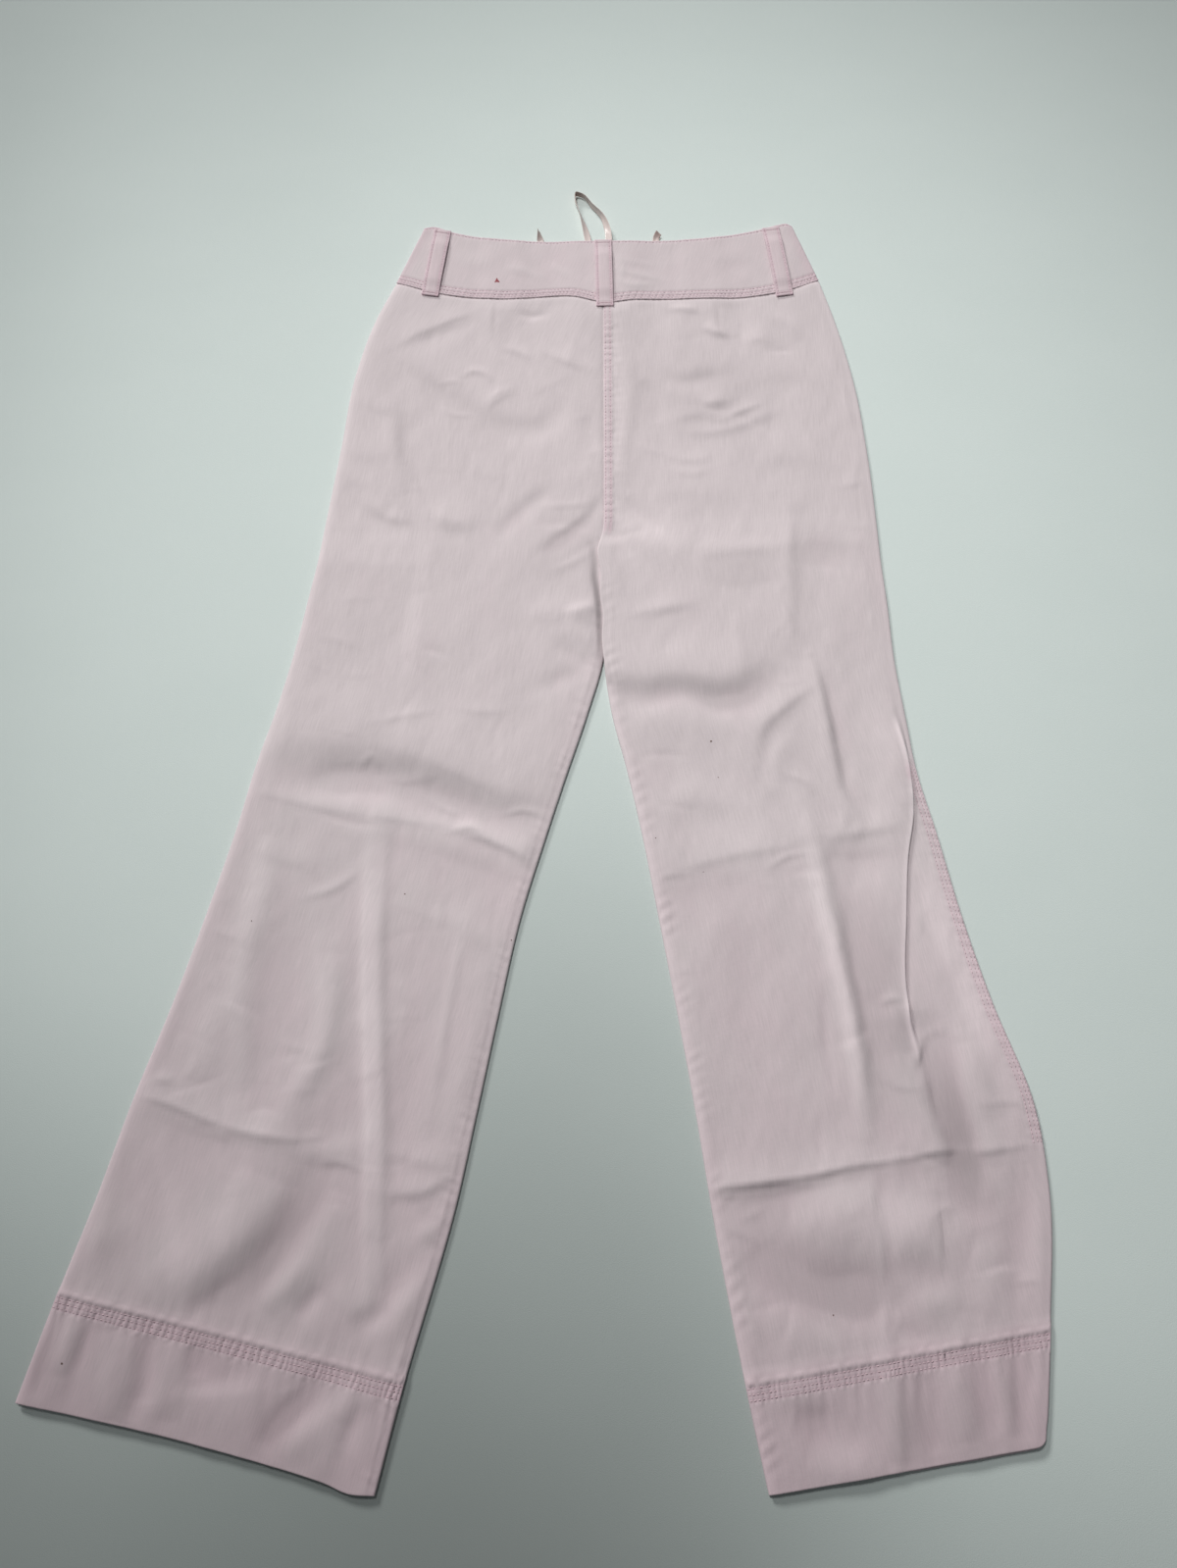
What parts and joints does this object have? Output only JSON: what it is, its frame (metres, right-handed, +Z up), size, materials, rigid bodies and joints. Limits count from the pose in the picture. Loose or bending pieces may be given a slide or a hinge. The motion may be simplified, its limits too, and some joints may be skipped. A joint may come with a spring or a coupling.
{
  "type": "bootcut trousers",
  "caption": "Flared cotton trousers with a wide waistband, belt loops and deep stitched hems, lying flat with the back upwards.",
  "frame": {"origin": "centre of the garment's outline, on the surface that it lies on", "axes": "+Y from the hems to the waist, +Z up from the surface, +X to the right as seen from above, which is the wearer's right"},
  "size_m": [0.7644, 1.102, 0.009],
  "materials": {
    "cotton": "matt pale pink cotton twill with a slight sheen",
    "cotton_trim": "matt pale pink cotton twill, folded double and edge-stitched",
    "satin": "pale pink satin ribbon",
    "zip_tape": "matt woven tape",
    "catch_metal": "satin plated steel"
  },
  "bodies": {
    "root": {"leg_back_left": "cotton", "leg_back_right": "cotton", "leg_front_left": "cotton", "leg_front_right": "cotton", "waistband_back": "cotton", "waistband_front_left": "cotton", "waistband_front_right": "cotton", "fly_shield": "cotton", "belt_loop_back_left": "cotton_trim", "belt_loop_back_centre": "cotton_trim", "belt_loop_back_right": "cotton_trim", "belt_loop_front_left": "cotton_trim", "belt_loop_front_right": "cotton_trim", "ribbon_loop_centre": "satin", "ribbon_tip_left": "satin", "ribbon_tip_right": "satin", "fly_zip": "zip_tape", "waist_hook": "catch_metal", "waist_bar": "catch_metal"}
  },
  "joints": []
}
